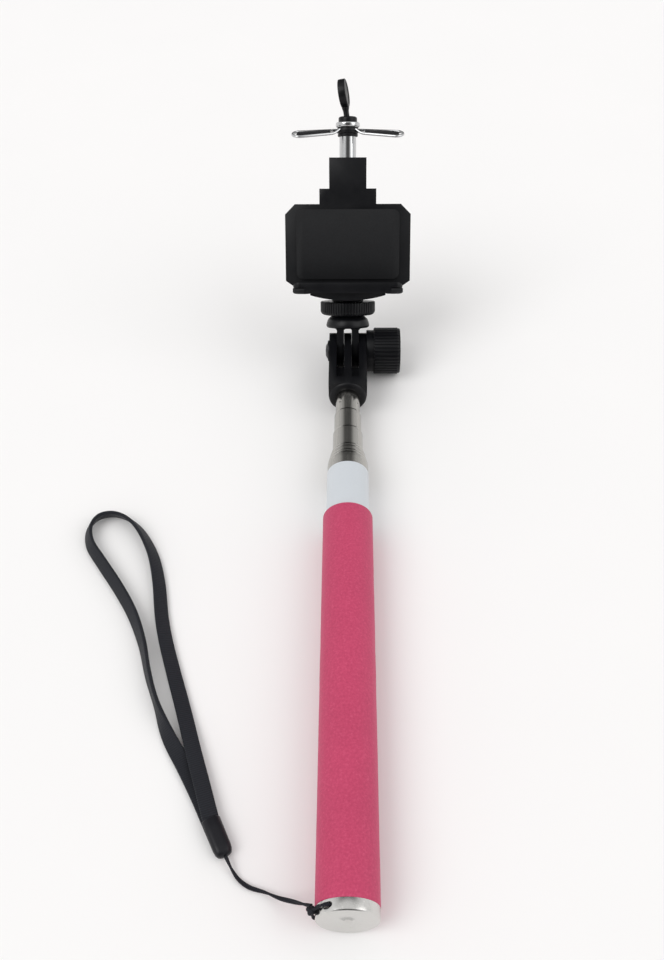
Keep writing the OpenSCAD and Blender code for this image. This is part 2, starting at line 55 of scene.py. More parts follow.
# ------------------------------------------------------------------ frames, in millimetres
MM = 0.001
Y_MID = 148.779449
AXIS_Z = 9.7
PIVOT_S = 234.4
HEAD_TILT = 56
STICK = Matrix.Translation((0, -Y_MID, AXIS_Z)) @ Matrix.Rotation(math.radians(-90), 4, "X")
PIVOT = Matrix.Translation((0, PIVOT_S - Y_MID, AXIS_Z))
HEAD = PIVOT @ Matrix.Rotation(math.radians(HEAD_TILT - 90), 4, "X")
ALONG_X = PIVOT @ Matrix.Rotation(math.radians(90), 4, "Y")
TABLE = Matrix.Translation((0, -Y_MID, 0))
MIRROR = Matrix.Scale(-1, 4, (1, 0, 0))

# angles, in degrees, past which an edge is rounded over, and past which it is shaded as an edge
ROUND_FROM = 32
SHARP_FROM = 38


# ------------------------------------------------------------------ camera
camera = bpy.data.objects.new("camera", bpy.data.cameras.new("camera"))
bpy.context.scene.collection.objects.link(camera)
camera.location = (0, -0.24188, 0.2868)
look = Matrix.Rotation(math.radians(42.4), 3, "X") @ Matrix.Rotation(math.radians(0.905), 3, "Y")
camera.rotation_euler = look.to_euler()
camera.data.lens = 37.5
camera.data.sensor_width = 36
camera.data.clip_start = 0.01
bpy.context.scene.camera = camera


# ------------------------------------------------------------------ materials
def node_tree(name):
    """A new material, its node tree and its shader."""
    m = bpy.data.materials.new(name)
    m.use_nodes = True
    t = m.node_tree
    return m, t, t.nodes["Principled BSDF"]


def add(t, kind, inputs=(), **settings):
    """A new node, with values for its inputs and its own settings."""
    n = t.nodes.new(kind)
    for key, value in settings.items():
        setattr(n, key, value)
    for key, value in dict(inputs).items():
        n.inputs[key].default_value = value
    return n


def coords(t, stretch=(1, 1, 1)):
    """Texture coordinates in millimetres, stretched per axis."""
    c = add(t, "ShaderNodeTexCoord")
    m = add(t, "ShaderNodeMapping", {"Scale": [1000 * s for s in stretch]})
    t.links.new(c.outputs["Object"], m.inputs["Vector"])
    return m.outputs["Vector"]


def noise_of(t, vector, scale, detail=3, rough=0.6):
    n = add(t, "ShaderNodeTexNoise", {"Scale": scale, "Detail": detail, "Roughness": rough})
    t.links.new(vector, n.inputs["Vector"])
    return n.outputs["Fac"]


def ramp(t, fac, stops):
    """Colours along a factor, from stops (place, colour)."""
    r = add(t, "ShaderNodeValToRGB")
    e = r.color_ramp.elements
    while len(e) < len(stops):
        e.new(0.5)
    for k, (place, colour) in enumerate(stops):
        e[k].position = place
        e[k].color = (*colour, 1)
    t.links.new(fac, r.inputs["Fac"])
    return r.outputs["Color"]


def grey(v):
    return (v, v, v)


def span(t, fac, low, high):
    """A noise factor, which lies mostly between 0.3 and 0.7, turned into a value from low to high."""
    m = add(t, "ShaderNodeMapRange", {"From Min": 0.3, "From Max": 0.7, "To Min": low, "To Max": high})
    t.links.new(fac, m.inputs["Value"])
    return m.outputs["Result"]


def bump(t, bsdf, height, strength, distance, below=None):
    """Relief of a distance in millimetres, on top of the relief below."""
    b = add(t, "ShaderNodeBump", {"Strength": strength, "Distance": distance * MM})
    t.links.new(height, b.inputs["Height"])
    if below:
        t.links.new(below, b.inputs["Normal"])
    t.links.new(b.outputs["Normal"], bsdf.inputs["Normal"])
    return b.outputs["Normal"]


def foam():
    """Closed-cell foam, a little darker in patches."""
    m, t, s = node_tree("foam")
    at = coords(t)
    cells = add(t, "ShaderNodeTexVoronoi", {"Scale": 1.9, "Randomness": 1})
    t.links.new(at, cells.inputs["Vector"])
    fine = noise_of(t, at, 1.3, 5, 0.7)
    patch = noise_of(t, at, 0.045, 3)
    colour = ramp(t, fine, [(0.3, (0.46, 0.040, 0.108)), (0.55, (0.55, 0.058, 0.140)), (0.75, (0.63, 0.10, 0.195))])
    worn = add(t, "ShaderNodeMix", data_type="RGBA", blend_type="MULTIPLY")
    worn.inputs["Factor"].default_value = 0.5
    t.links.new(colour, worn.inputs["A"])
    t.links.new(ramp(t, patch, [(0.3, grey(0.86)), (0.7, grey(1.0))]), worn.inputs["B"])
    t.links.new(worn.outputs["Result"], s.inputs["Base Color"])
    t.links.new(span(t, fine, 0.62, 0.85), s.inputs["Roughness"])
    s.inputs["Specular IOR Level"].default_value = 0.35
    s.inputs["Sheen Weight"].default_value = 0.18
    s.inputs["Sheen Roughness"].default_value = 0.45
    s.inputs["Sheen Tint"].default_value = (1, 0.75, 0.85, 1)
    first = bump(t, s, cells.outputs["Distance"], 0.35, 0.12)
    bump(t, s, fine, 0.3, 0.1, first)
    return m


def metal(name, colour, rough, grain, marks, dents, scale=1.5):
    """Bare metal with drawing or polishing lines along the axis that grain shrinks, and faint handling marks."""
    m, t, s = node_tree(name)
    lines = noise_of(t, coords(t, grain), scale, 4, 0.65)
    smudge = noise_of(t, coords(t), 0.11, 3)
    low, high = [c * 0.93 for c in colour], [min(1, c * 1.05) for c in colour]
    t.links.new(ramp(t, lines, [(0.3, low), (0.7, high)]), s.inputs["Base Color"])
    both = add(t, "ShaderNodeMath", operation="ADD")
    t.links.new(span(t, lines, rough - marks, rough + marks), both.inputs[0])
    t.links.new(span(t, smudge, -marks / 2, marks / 2), both.inputs[1])
    t.links.new(both.outputs[0], s.inputs["Roughness"])
    s.inputs["Metallic"].default_value = 1
    bump(t, s, lines, 0.25, dents)
    return m


def plastic(name, colour, rough, grain, depth, scale=3.2, spread=0.08, spec=0.5):
    """Moulded plastic or rubber with a spark-eroded grain, and broad patches that shine a little more or less."""
    m, t, s = node_tree(name)
    at = coords(t)
    fine = noise_of(t, at, scale, 4, 0.65)
    broad = noise_of(t, at, 0.14, 3)
    dark, light = [c * (1 - grain) for c in colour], [min(1, c * (1 + grain)) for c in colour]
    t.links.new(ramp(t, fine, [(0.3, dark), (0.72, light)]), s.inputs["Base Color"])
    t.links.new(span(t, broad, rough - spread, rough + spread), s.inputs["Roughness"])
    s.inputs["Specular IOR Level"].default_value = spec
    bump(t, s, fine, 0.5, depth)
    return m


def webbing():
    """Flat woven tape: slanting picks along the band, from the U (across) and V (along) map in millimetres."""
    m, t, s = node_tree("strap_webbing")
    uv = add(t, "ShaderNodeTexCoord")
    parts = add(t, "ShaderNodeSeparateXYZ")
    t.links.new(uv.outputs["UV"], parts.inputs[0])

    def wave(across, along):
        """A sine wave with this many radians a millimetre across the band and along it."""
        a = add(t, "ShaderNodeMath", {1: across}, operation="MULTIPLY")
        b = add(t, "ShaderNodeMath", {1: along}, operation="MULTIPLY")
        c = add(t, "ShaderNodeMath", operation="ADD")
        d = add(t, "ShaderNodeMath", operation="SINE")
        t.links.new(parts.outputs["X"], a.inputs[0])
        t.links.new(parts.outputs["Y"], b.inputs[0])
        t.links.new(a.outputs[0], c.inputs[0])
        t.links.new(b.outputs[0], c.inputs[1])
        t.links.new(c.outputs[0], d.inputs[0])
        return d.outputs[0]

    weave = add(t, "ShaderNodeMath", operation="MULTIPLY")
    for k, across in enumerate((9.0, -9.0)):
        t.links.new(wave(across, 4.4), weave.inputs[k])
    fibre = noise_of(t, coords(t), 5.0, 4, 0.7)
    blend = add(t, "ShaderNodeMath", {1: 0.7}, operation="MULTIPLY_ADD")
    t.links.new(weave.outputs[0], blend.inputs[0])
    t.links.new(fibre, blend.inputs[2])
    colour = ramp(t, blend.outputs[0], [(0.15, (0.0035, 0.004, 0.006)), (0.85, (0.016, 0.018, 0.026))])
    t.links.new(colour, s.inputs["Base Color"])
    s.inputs["Roughness"].default_value = 0.72
    s.inputs["Specular IOR Level"].default_value = 0.3
    s.inputs["Sheen Weight"].default_value = 0.12
    s.inputs["Sheen Roughness"].default_value = 0.4
    bump(t, s, blend.outputs[0], 0.55, 0.12)
    return m


FINISH = {
    "foam": foam(),
    "steel_tube": metal("steel_tube", (0.43, 0.42, 0.395), 0.17, (1, 0.02, 1), 0.05, 0.004),
    "label": plastic("label", (0.60, 0.635, 0.67), 0.38, 0.012, 0.003, 1.2, 0.06),
    "cap_metal": metal("cap_metal", (0.66, 0.65, 0.63), 0.24, (0.3, 0.3, 0.3), 0.04, 0.002, 3),
    "strap_webbing": webbing(),
    "strap_cord": plastic("strap_cord", (0.012, 0.012, 0.017), 0.75, 0.4, 0.08, 4, 0.08, 0.3),
    "ferrule": plastic("ferrule", (0.008, 0.008, 0.011), 0.36, 0.1, 0.01, 2.2, 0.08, 0.25),
    "black_plastic": plastic("black_plastic", (0.0046, 0.0048, 0.0060), 0.36, 0.25, 0.014, 2.6, 0.08, 0.22),
    "rubber": plastic("rubber", (0.0075, 0.0078, 0.009), 0.6, 0.3, 0.02, 2.2, 0.08, 0.25),
    "black_steel": metal("black_steel", (0.05, 0.05, 0.053), 0.30, (1, 1, 1), 0.06, 0.004),
    "screw_steel": metal("screw_steel", (0.42, 0.42, 0.42), 0.28, (1, 1, 1), 0.06, 0.004),
    "brass": metal("brass", (0.62, 0.45, 0.20), 0.28, (1, 1, 1), 0.06, 0.004),
    "aluminium": metal("aluminium", (0.72, 0.72, 0.73), 0.32, (1, 0.1, 1), 0.06, 0.004),
    "white_plastic": plastic("white_plastic", (0.70, 0.70, 0.67), 0.42, 0.03, 0.01),
    "chrome": metal("chrome", (0.56, 0.565, 0.57), 0.09, (1, 1, 1), 0.02, 0.001),
}
for name, slot in SLOT.items():
    nodes[name].data.materials.clear()
    nodes[name].data.materials.append(FINISH[slot])


# ------------------------------------------------------------------ mesh helpers
def piece(name, node, shapes, place, sharp=SHARP_FROM, edge=0):
    """A part that stands for a CAD node, made of closed shapes (verts, faces, map) in the frame place.

    The shapes are in millimetres, and edge is the width by which their edges are rounded over.
    """
    verts, faces, uv = [], [], []
    for shape in shapes:
        faces += [[len(verts) + j for j in face] for face in shape[1]]
        verts += shape[0]
        uv += shape[2] if len(shape) > 2 else []
    mesh = bpy.data.meshes.new(name)
    mesh.from_pydata([place @ Vector(v) * MM for v in verts], [], faces)
    bm = bmesh.new()
    bm.from_mesh(mesh)
    bmesh.ops.recalc_face_normals(bm, faces=bm.faces)
    if edge:
        round_edges(bm, edge)
    bm.to_mesh(mesh)
    bm.free()
    if uv:
        layer = mesh.uv_layers.new(name="weave")
        for loop in mesh.loops:
            layer.data[loop.index].uv = uv[loop.vertex_index]
    return finished(name, node, mesh, sharp)


def finished(name, node, mesh, sharp):
    """The mesh as an object with its node's finish, on its node's body and in its node's place."""
    mesh.materials.clear()
    mesh.materials.append(FINISH[SLOT[node]])
    mesh.shade_smooth()
    mesh.set_sharp_from_angle(angle=math.radians(sharp))
    o = bpy.data.objects.new(name, mesh)
    bpy.context.scene.collection.objects.link(o)
    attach(o, BODY[node])
    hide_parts(node)
    return o


def round_edges(bm, width):
    edges = [e for e in bm.edges if len(e.link_faces) == 2 and e.calc_face_angle(0) > math.radians(ROUND_FROM)]
    bmesh.ops.bevel(bm, geom=edges, offset=width * MM, segments=2, profile=0.5, affect="EDGES", clamp_overlap=True)


def softened(corners, steps, closed=False):
    """The outline through corners (x, y) or (x, y, radius), with an arc at each corner that has a radius."""
    out, n = [], len(corners)
    for i, c in enumerate(corners):
        p = Vector(c[:2])
        r = c[2] if len(c) > 2 else 0
        if r <= 0 or (not closed and i in (0, n - 1)):
            out.append(tuple(p))
            continue
        a, b = Vector(corners[i - 1][:2]) - p, Vector(corners[(i + 1) % n][:2]) - p
        la, lb = a.length, b.length
        a, b = a / la, b / lb
        half = math.acos(max(-1, min(1, a.dot(b)))) / 2
        reach = min(r / math.tan(half), 0.49 * la, 0.49 * lb)
        r = reach * math.tan(half)
        centre = p + (a + b).normalized() * (r / math.sin(half))
        start, end = p + a * reach - centre, p + b * reach - centre
        turn = start.angle_signed(end)
        for k in range(steps + 1):
            w = -turn * k / steps
            cos, sin = math.cos(w), math.sin(w)
            out.append(tuple(centre + Vector((start.x * cos - start.y * sin, start.x * sin + start.y * cos))))
    return out


def split(profile, longest):
    """The profile with its long runs cut up, so that a ripple has points to move."""
    out = [profile[0]]
    for a, b in zip(profile, profile[1:]):
        n = max(1, math.ceil(math.dist(a, b) / longest))
        out += [(a[0] + (b[0] - a[0]) * k / n, a[1] + (b[1] - a[1]) * k / n) for k in range(1, n + 1)]
    return out


def lathe(profile, count, ripple=None, closed=False):
    """Turns a profile of (radius, height) about the height axis, in count steps.

    ripple(angle, radius, height) returns the new radius, and a closed profile joins its end to its start.
    """
    verts, faces, rings = [], [], []
    for r, z in profile:
        if r < 1e-6:
            rings.append([len(verts)])
            verts.append((0, 0, z))
            continue
        rings.append(list(range(len(verts), len(verts) + count)))
        for k in range(count):
            a = 2 * math.pi * k / count
            q = ripple(a, r, z) if ripple else r
            verts.append((q * math.cos(a), q * math.sin(a), z))
    pairs = list(zip(rings, rings[1:])) + ([(rings[-1], rings[0])] if closed else [])
    for low, high in pairs:
        for k in range(count):
            quad = [low[k % len(low)], low[(k + 1) % len(low)], high[(k + 1) % len(high)], high[k % len(high)]]
            if len(set(quad)) > 2:
                faces.append(list(dict.fromkeys(quad)))
    return verts, faces


def curve_through(points, per_step):
    """A smooth line through the points, which may carry extra values such as a twist."""
    out, n = [], len(points)
    for i in range(n - 1):
        p0, p1, p2, p3 = (points[max(i - 1, 0)], points[i], points[i + 1], points[min(i + 2, n - 1)])
        for k in range(per_step):
            t = k / per_step
            out.append(tuple(
                0.5 * (2 * b + (c - a) * t + (2 * a - 5 * b + 4 * c - d) * t * t + (3 * b - a - 3 * c + d) * t ** 3)
                for a, b, c, d in zip(p0, p1, p2, p3)))
    out.append(tuple(points[-1]))
    return out


def sweep(line, section, twist=None, loop=False):
    """Closed section points (across, over) carried along the line. Returns verts, faces and a map in millimetres."""
    verts, faces, uv, along, m, n = [], [], [], 0, len(section), len(line)
    up = Vector((0, 0, 1))
    line = [Vector(p) for p in line]
    edge = [0]
    for a, b in zip(section, section[1:]):
        edge.append(edge[-1] + math.dist(a, b))
    for i, p in enumerate(line):
        if loop:
            t = (line[(i + 1) % n] - line[i - 1]).normalized()
        else:
            t = (line[min(i + 1, n - 1)] - line[max(i - 1, 0)]).normalized()
        side = up.cross(t).normalized()
        over = t.cross(side)
        w = math.radians(twist[i]) if twist else 0
        if i:
            along += (p - line[i - 1]).length
        cos, sin = math.cos(w), math.sin(w)
        for j, (x, y) in enumerate(section):
            verts.append(p + side * (x * cos - y * sin) + over * (x * sin + y * cos))
            uv.append((edge[j], along))
    for i in range(n if loop else n - 1):
        for j in range(m):
            a, b = i * m + j, i * m + (j + 1) % m
            c, d = (b + m) % (n * m), (a + m) % (n * m)
            faces.append([a, b, c, d])
    if not loop:
        faces.append(list(range(m)))
        faces.append([(n - 1) * m + j for j in range(m)])
    return verts, faces, uv


def circle(r, count):
    return [(r * math.cos(2 * math.pi * k / count), r * math.sin(2 * math.pi * k / count)) for k in range(count)]


def rounded_copy(name, node, width, shape=None):
    """A CAD part with its edges rounded over. shape(x, y, z) may move its points first, in the head's frame."""
    bm = bmesh.new()
    bm.from_mesh(nodes[node].data)
    bmesh.ops.remove_doubles(bm, verts=bm.verts, dist=0.002 * MM)
    bmesh.ops.dissolve_limit(bm, angle_limit=math.radians(1.2), verts=bm.verts, edges=bm.edges)
    if shape:
        back = HEAD.inverted()
        for v in bm.verts:
            v.co = HEAD @ Vector(shape(*(back @ (v.co / MM)))) * MM
    round_edges(bm, width)
    bmesh.ops.triangulate(bm, faces=[f for f in bm.faces if len(f.verts) > 4])
    mesh = bpy.data.meshes.new(name)
    bm.to_mesh(mesh)
    bm.free()
    return finished(name, node, mesh, SHARP_FROM)


def rounded_rect(w, d, r, steps):
    """Outline of a w by d plate with corners of radius r."""
    x, y = w / 2, d / 2
    return softened([(x, y, r), (-x, y, r), (-x, -y, r), (x, -y, r)], steps, closed=True)


def pillow(w, d, r, levels):
    """A plate with rounded corners whose outline draws in by levels (inset, height)."""
    verts, faces = [], []
    for inset, z in levels:
        outline = rounded_rect(w - 2 * inset, d - 2 * inset, max(0.1, r - inset), 6)
        n = len(outline)
        verts += [(x, y, z) for x, y in outline]
    for i in range(len(levels) - 1):
        faces += [[i * n + k, i * n + (k + 1) % n, (i + 1) * n + (k + 1) % n, (i + 1) * n + k] for k in range(n)]
    last = (len(levels) - 1) * n
    return verts, [list(range(n)), list(range(last, last + n)), *faces]


def moved(shape, place):
    """The shape, put in place."""
    return [tuple(place @ Vector(v)) for v in shape[0]], *shape[1:]


def slab(outline, low, high):
    """A flat outline (x, y) given thickness."""
    n = len(outline)
    verts = [(x, y, low) for x, y in outline] + [(x, y, high) for x, y in outline]
    sides = [[k, (k + 1) % n, (k + 1) % n + n, k + n] for k in range(n)]
    return verts, [list(range(n)), list(range(n, 2 * n)), *sides]


def bent(points):
    """The line through points (x, y, z, radius), with each inner corner that has a radius turned into a bend."""
    out, steps = [Vector(points[0][:3])], 6
    for before, here, after in zip(points, points[1:], points[2:]):
        p = Vector(here[:3])
        if len(here) < 4:
            out.append(p)
            continue
        a, b = Vector(before[:3]) - p, Vector(after[:3]) - p
        reach = min(here[3], a.length * 0.45, b.length * 0.45)
        start, end = p + a.normalized() * reach, p + b.normalized() * reach
        for k in range(steps + 1):
            w = k / steps
            out.append(start * (1 - w) ** 2 + p * 2 * w * (1 - w) + end * w * w)
    return [tuple(p) for p in out] + [tuple(points[-1][:3])]


def flutes(count, depth, full, fade):
    """Ripple for a ridged rim: grooves that fade out below the radius full - fade."""
    def ripple(a, r, z):
        u = math.cos(a * count)
        groove = max(0, min(1, (u + 0.15) / 0.7))
        near_rim = max(0, min(1, (r - full + fade) / (0.7 * fade)))
        return r - depth * groove * groove * (3 - 2 * groove) * near_rim
    return ripple


# ------------------------------------------------------------------ wrist strap
# the band's middle line from the clasp round to the clasp again, with its twist in degrees
BAND = [
    (-40.3, 31, 2.9, 0), (-44, 42, 2.7, 0), (-48.1, 54, 2.3, 0), (-52.7, 68, 1.6, 10), (-57.9, 83, 1.8, 20),
    (-61.5, 94, 2, 25), (-64.1, 104, 2, 30), (-66.8, 118, 2.2, 36), (-70.4, 130, 2.5, 46), (-76, 140.5, 2.7, 58),
    (-81.6, 146.5, 2.7, 66), (-87.6, 149, 2.7, 68), (-93.1, 147.5, 2.7, 66), (-95.5, 142, 2.7, 62),
    (-93.9, 134.5, 2.7, 56), (-88.3, 126, 2.7, 50), (-80.7, 115, 2.7, 50), (-74.1, 104, 2.7, 54),
    (-69, 92, 2.7, 64), (-65.4, 80, 2.7, 72), (-61.2, 69, 2.7, 76), (-56.6, 59, 2, 40),
    (-50.5, 49, 0.9, 0), (-44.9, 39, 1.1, 0), (-40.8, 31, 1.5, 0),
]
# the thin cord's middle line from the cap to the clasp
CORD = [
    (-9.9, 3.4, 11.6), (-12.1, 4.8, 9), (-15.1, 6.6, 5.6), (-19.1, 8.6, 2.6), (-23.1, 10.6, 1.2),
    (-27.6, 12, 1), (-30.7, 14, 1), (-33, 16.8, 1.4), (-35.1, 20.4, 2.1),
]
BAND_WIDTH, BAND_THICK, BAND_CORNER = 5, 1.3, 0.5
STRAND_R, STRAND_OFFSET = 0.36, 0.3


band_route = curve_through(BAND, 10)
tape = rounded_rect(BAND_WIDTH, BAND_THICK, BAND_CORNER, 3)
band = piece("wrist_band", "strap_band", [sweep([p[:3] for p in band_route], tape, [p[3] for p in band_route])],
             TABLE, 60)


def twisted(line, offset, r, pitch):
    """Two strands of radius r laid round each other, each at offset from the line."""
    strands, along, n = ([], []), 0, len(line)
    for i, p in enumerate(line):
        if i:
            along += math.dist(p, line[i - 1])
        t = (Vector(line[min(i + 1, n - 1)]) - Vector(line[max(i - 1, 0)])).normalized()
        side = Vector((0, 0.2, 1)).cross(t).normalized()
        over = t.cross(side)
        for k, strand in enumerate(strands):
            a = 2 * math.pi * along / pitch + math.pi * k
            strand.append(Vector(p) + side * offset * math.cos(a) + over * offset * math.sin(a))
    return [sweep(strand, circle(r, 10))[:2] for strand in strands]


cord_route = curve_through(CORD, 8)
cord = piece("wrist_cord", "strap_cord", twisted(cord_route, STRAND_OFFSET, STRAND_R, 26), TABLE, 60)

# the cord's loop through the cap's hole, and the knot that gathers it
CAP_R, HOLE_S, KNOT_TURN, KNOT_POINTS, KNOT_SIZE = 8.85, 1.9, 75, 90, 0.3


def round_cap(turn, r):
    """A point level with the cap's hole, turned from straight up towards the strap."""
    return (-r * math.sin(math.radians(turn)), -r * math.cos(math.radians(turn)), HOLE_S)


bight = [round_cap(a, CAP_R + d) for a, d in
         [(36, -0.6), (36, 0.3), (42, 0.75), (52, 0.9), (75, 0.95), (96, 0.9), (106, 0.7), (110, 0.2), (110, -0.6)]]
knot = []
for k in range(KNOT_POINTS):
    a = 2 * math.pi * k / KNOT_POINTS
    knot.append((KNOT_SIZE * (math.sin(a) + 2 * math.sin(2 * a)),
                 KNOT_SIZE * (math.cos(a) - 2 * math.cos(2 * a)), -0.5 * math.sin(3 * a)))
tie = Matrix.Translation(round_cap(KNOT_TURN, CAP_R + 1.35)) @ Matrix.Rotation(math.radians(50), 4, "X")
knot_cord = moved(sweep(knot, circle(0.55, 10), loop=True)[:2], tie)
piece("cap_knot", "strap_knot", [*twisted(curve_through(bight, 8), 0.24, 0.32, 7), knot_cord], STICK, 60)

# the clasp that holds both ends of the band and the cord
CLASP_A, CLASP_B = Vector((-40.5, 31.2, 2.2)), Vector((-35.2, 20.5, 2.2))
CLASP_HIGH, CLASP_WIDE, CLASP_CORNER = 4.4, 5.8, 2.0
CLASP_LEVELS = [(0.5, 0), (0.15, 0.15), (0, 0.5), (0.05, 4), (0.12, 9), (0.3, 10.6), (0.75, 11.5), (1.4, 11.94)]
clasp_run = CLASP_B - CLASP_A
clasp = (TABLE @ Matrix.Translation(CLASP_A) @ Matrix.Rotation(math.atan2(clasp_run.y, clasp_run.x), 4, "Z")
         @ Matrix.Rotation(math.radians(90), 4, "Y"))
piece("strap_clasp", "strap_ferrule", [pillow(CLASP_HIGH, CLASP_WIDE, CLASP_CORNER, CLASP_LEVELS)], clasp, 45)

# ------------------------------------------------------------------ grip, cap and tubes
GRIP_START, GRIP_END, GRIP_R, BASE_R, WALL = 3.4, 141.4, 9, 7.7, 0.27
STEP = 0.475
TAIL_START, TAIL_STEP = 9.2, 1.5
MOUTH = [205, 194.3, 184, 174.1, 172.3, 170, 168.3]


def foam_skin(a, r, z):
    """The grip's outside, very slightly uneven."""
    if r < GRIP_R - 0.9:
        return r
    return r - 0.03 + 0.05 * noise.noise((4 * math.cos(a), 4 * math.sin(a), z / 9))


grip_profile = softened([
    (BASE_R, GRIP_START), (GRIP_R, GRIP_START, 0.35), (GRIP_R, GRIP_END, 1.15), (BASE_R, GRIP_END)], 7)
grip = piece("foam_grip", "grip_sleeve", [lathe(split(grip_profile, 2.5), 96, foam_skin, closed=True)], STICK)
rounded_copy("turned_cap", "end_cap", 0.18)


def tube(name, node, r, start, end, lip_r):
    """A thin tube whose mouth is rolled in on the next one."""
    piece(name, node, [lathe(softened([
        (r - WALL, start), (r, start), (r, end - 0.8, 0.8), (r - 0.2, end - 0.15, 0.3), (lip_r + 0.02, end, 0.1),
        (lip_r, end - 1), (r - WALL, end - 1.2),
    ], 5), 128, closed=True)], STICK, 30)


for stage in range(2, 7):
    tube(f"tube_stage_{stage}", f"section_{stage}", BASE_R - STEP * (7 - stage),
         TAIL_START + TAIL_STEP * (6 - stage), MOUTH[stage - 1], BASE_R - STEP * (8 - stage) + 0.05)
BASE_END = MOUTH[6]
piece("outer_tube", "base_tube", [lathe(softened([
    (BASE_R - WALL, GRIP_START), (BASE_R, GRIP_START), (BASE_R, 165.9, 1.5), (BASE_R - 0.12, 167.5, 0.8),
    (BASE_R - 0.32, BASE_END - 0.1, 0.25), (BASE_R - STEP + 0.07, BASE_END, 0.1),
    (BASE_R - STEP + 0.05, BASE_END - 1), (BASE_R - WALL, BASE_END - 1.2)], 5), 128, closed=True)], STICK, 30)

# ------------------------------------------------------------------ knuckle, knob and lock nut
rounded_copy("fork", "lower_knuckle", 0.3)
rounded_copy("fins", "upper_knuckle", 0.22)
piece("dome_nut", "cap_nut", [lathe(softened([
    (0, -9.45), (2.3, -9.3, 2), (3.3, -8.6, 0.5), (3.4, -8.5), (4.4, -8.5, 0.3), (4.4, -7.75), (0, -7.75)], 5), 72)],
      ALONG_X)

# the fillets where the two fins run into the dome
FIN_X, FIN_HALF, DOME_U, WEB, WEB_Y = 3.1, 1.45, 9.95, 0.85, 6.3
SUNK = -DOME_U - 0.2
web_arc = [(WEB * (1 - math.sin(math.radians(a))), WEB * (1 - math.cos(math.radians(a)))) for a in range(0, 91, 15)]
webs = []
for side in (-1, 1):
    for face in (-1, 1):
        root = side * FIN_X + face * (FIN_HALF - 0.05)
        fillet = [(root, SUNK), *[(root + face * x, -DOME_U + y) for x, y in web_arc], (root + face * WEB, SUNK)]
        webs.append(moved(slab(fillet, -WEB_Y, WEB_Y), Matrix.Rotation(math.radians(-90), 4, "X")))
piece("fin_webs", "upper_knuckle", webs, HEAD, 40)
KNOB_R, KNOB_FLUTES = 9.7, 40
piece("knob_cap", "thumb_knob", [lathe(softened([
    (2.5, 7.85), (8.7, 7.85, 0.25), (8.7, 10.9), (9.3, 10.9, 0.1), (KNOB_R, 11.2, 0.15), (KNOB_R, 20.9, 0.2),
    (9.4, 21.15, 0.15), (9.35, 22, 0.75), (7.3, 22, 0.3), (7.1, 21.7, 0.2), (0, 21.7), (0, 14.85), (4.2, 14.85),
    (4.2, 10.85), (2.5, 10.85)], 4), 320, flutes(KNOB_FLUTES, 0.42, KNOB_R, 0.4), closed=True)], ALONG_X, 40)
NUT_R, NUT_LOW, NUT_HIGH, NUT_FLUTES, STUD_R = 11.45, 15.2, 20.8, 60, 3.225
piece("ridged_nut", "lock_nut", [lathe(softened([
    (STUD_R, NUT_LOW), (NUT_R, NUT_LOW, 1.9), (NUT_R, NUT_HIGH, 0.5), (STUD_R, NUT_HIGH)], 8), 480,
    flutes(NUT_FLUTES, 0.33, NUT_R, 1.3), closed=True)], HEAD, 40)

# ------------------------------------------------------------------ clamp
LIP_X, LIP_FRONT, LIP_LOW, LIP_ROUND = 22.3, -15, 27.2, 2.2


def lip_ends(x, y, u):
    """The lip's top corners, rounded over."""
    out = abs(x) - (LIP_X - LIP_ROUND)
    if y > LIP_FRONT or u < LIP_LOW + 0.1 or out <= 0:
        return x, y, u
    return x, y, LIP_LOW + (u - LIP_LOW) * max(0.15, math.sqrt(max(0, 1 - (out / LIP_ROUND) ** 2)))


rounded_copy("clamp_frame", "clamp_body", 0.35, shape=lip_ends)
CORNER_WIDE, CORNER_DEEP, CORNER_R, CORNER_Y = 7.9, 13, 3.4, -10.5
CORNER_LEVELS = [(1.3, 24.6), (0.6, 24.72), (0.2, 25.0), (0, 25.4), (0, 25.72), (0.14, 25.8), (0.14, 25.9), (0, 25.98),
                 (0, 26.5), (0.2, 26.85), (0.6, 27.1), (1.2, 27.2)]
corner = pillow(CORNER_WIDE, CORNER_DEEP, CORNER_R, CORNER_LEVELS)
corner_x = LIP_X + 0.1 - CORNER_WIDE / 2
piece("corner_caps", "jaw_end_pads",
      [moved(corner, Matrix.Translation((x, CORNER_Y, 0))) for x in (-corner_x, corner_x)], HEAD, 45)
rounded_copy("seat_strip", "seat_pad", 0.15)
rounded_copy("back_rubber", "back_pad", 0.2)
rounded_copy("spring_cover", "rear_cover", 0.3)
rounded_copy("cross_screws", "cover_screws", 0.08)
SLIDE_R, COLLAR_R, COLLAR_LOW, COLLAR_HIGH = 3.4, 3.9, 88.7, 89.9
piece("hub_sleeve", "hub_barrel", [lathe(softened([
    (SLIDE_R, 86.4), (4.05, 86.4, 0.35), (4.1, 87.35, 0.3), (3.8, 87.55, 0.1), (4.25, 87.8, 0.3), (4.35, 88.8, 0.6),
    (4.2, COLLAR_HIGH, 0.3), (SLIDE_R, COLLAR_HIGH),
], 4), 72, closed=True)], HEAD)

# one wire a side, out from the collar, round the arm's tip and back
WIRE_R, ARM_LOW, TIP_X = 0.55, 85.55, 18.9
COLLAR_MID = COLLAR_LOW + 0.6
tip_back, tip_front = Vector((TIP_X, -5.6, ARM_LOW + 2.37)), Vector((TIP_X, -11.2, ARM_LOW))
tip_middle = (tip_back + tip_front) / 2
tip_out = Vector(((tip_back - tip_front).length / 2, 0, 0))
tip = [tuple(tip_middle + (tip_back - tip_middle) * math.cos(math.radians(a)) + tip_out * math.sin(math.radians(a)))
       for a in range(0, 181, 12)]
arm_line = bent([
    (2.2, 3.0, COLLAR_MID), (3, 2.6, COLLAR_MID, 0.6), *tip, (5.4, -4.2, ARM_LOW + 1.85, 2.2),
    (3, -2.6, COLLAR_MID, 0.9), (2.2, -2.2, COLLAR_MID)])
arm = sweep(arm_line, circle(WIRE_R, 16))[:2]
